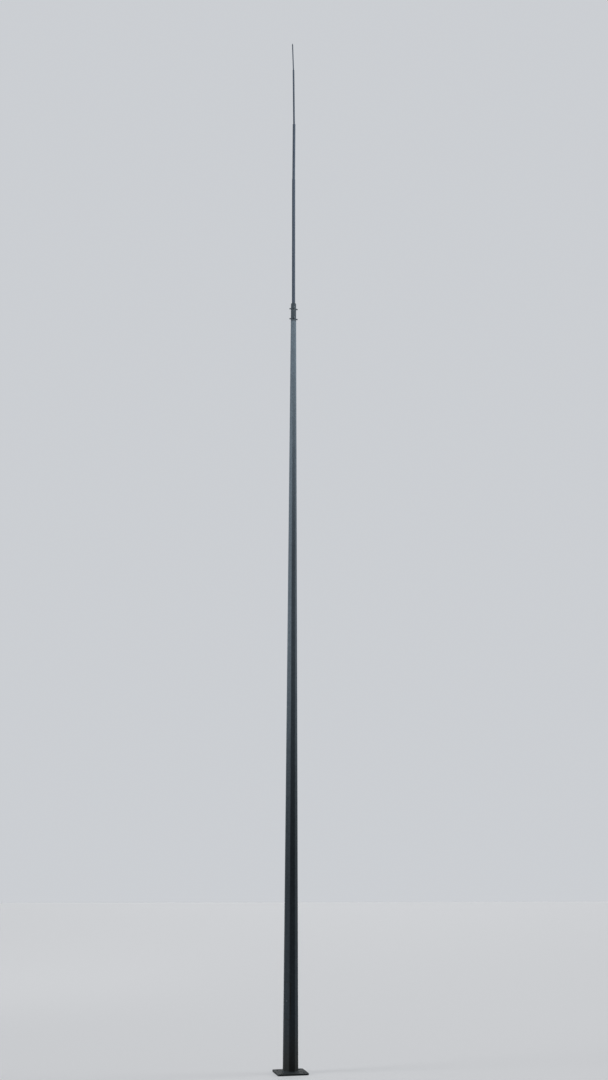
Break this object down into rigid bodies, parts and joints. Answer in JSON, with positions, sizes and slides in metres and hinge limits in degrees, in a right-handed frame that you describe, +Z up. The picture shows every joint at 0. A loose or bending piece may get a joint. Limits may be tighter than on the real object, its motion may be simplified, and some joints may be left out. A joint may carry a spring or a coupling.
{
  "type": "lightning rod mast",
  "caption": "Tall tapered octagonal galvanised steel pole on a bolted base flange, with a slim stepped tubular lightning receiver clamped in its head by set bolts.",
  "frame": {"origin": "middle of the base flange's underside, on the mast's axis", "axes": "+Z up along the mast, X and Y along the flange's sides, -Y towards the front"},
  "size_m": [0.32, 0.32, 13.3727],
  "materials": {
    "pole_steel": "dull hot-dip galvanised plate, faint spangle and soft vertical streaks",
    "hatch_steel": "dull hot-dip galvanised plate with handling marks round the lock",
    "receiver_steel": "weathered dark grey galvanised tube",
    "fastener_steel": "zinc-coated bolts and nuts, slightly dirty",
    "weld_metal": "galvanised weld bead, rough"
  },
  "bodies": {
    "root": {"base_flange": "pole_steel", "base_weld": "weld_metal", "pole_shaft": "pole_steel", "hatch_frame": "pole_steel", "hatch_lid": "hatch_steel", "hatch_strap": "fastener_steel", "hatch_lock_screw": "fastener_steel", "earth_lug": "pole_steel", "head_ring": "pole_steel", "receiver_tube_lower": "receiver_steel", "receiver_tube_middle": "receiver_steel", "reducer_bush": "receiver_steel", "receiver_tube_upper": "receiver_steel", "tip_rod": "receiver_steel", "clamp_nut_upper_front": "fastener_steel", "clamp_bolt_upper_front": "fastener_steel", "clamp_nut_upper_right": "fastener_steel", "clamp_bolt_upper_right": "fastener_steel", "clamp_nut_upper_back": "fastener_steel", "clamp_bolt_upper_back": "fastener_steel", "clamp_nut_upper_left": "fastener_steel", "clamp_bolt_upper_left": "fastener_steel", "clamp_nut_lower_front": "fastener_steel", "clamp_bolt_lower_front": "fastener_steel", "clamp_nut_lower_right": "fastener_steel", "clamp_bolt_lower_right": "fastener_steel", "clamp_nut_lower_back": "fastener_steel", "clamp_bolt_lower_back": "fastener_steel", "clamp_nut_lower_left": "fastener_steel", "clamp_bolt_lower_left": "fastener_steel"}
  },
  "joints": []
}
